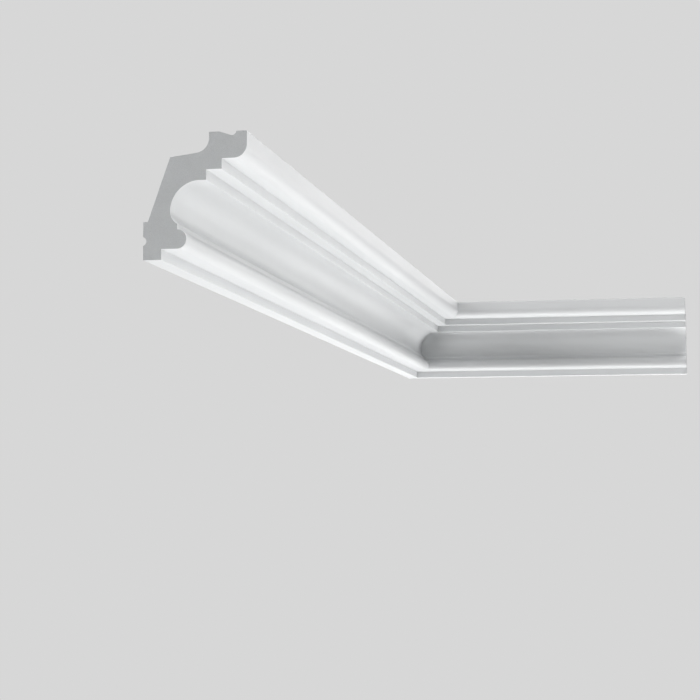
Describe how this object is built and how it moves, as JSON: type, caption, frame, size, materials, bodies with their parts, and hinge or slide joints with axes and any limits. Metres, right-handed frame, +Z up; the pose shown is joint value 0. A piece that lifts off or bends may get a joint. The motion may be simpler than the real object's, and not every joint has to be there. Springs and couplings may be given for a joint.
{
  "type": "cornice moulding",
  "caption": "Classical cornice moulding with ovolo, two steps, deep cove and half-round bead, as a long and a short length mitred round an inside corner.",
  "frame": {"origin": "middle of the flat strip under the glue groove of the side wall seat, half way along the side run", "axes": "+X out from the side wall, +Y along the long length towards the back wall, +Z up to the ceiling"},
  "size_m": [0.357, 1.15, 0.09],
  "materials": {
    "white_polymer": "matt white factory primer, bare light grey where sawn"
  },
  "bodies": {
    "root": {"side_wall_length": "white_polymer", "back_wall_length": "white_polymer"}
  },
  "joints": []
}
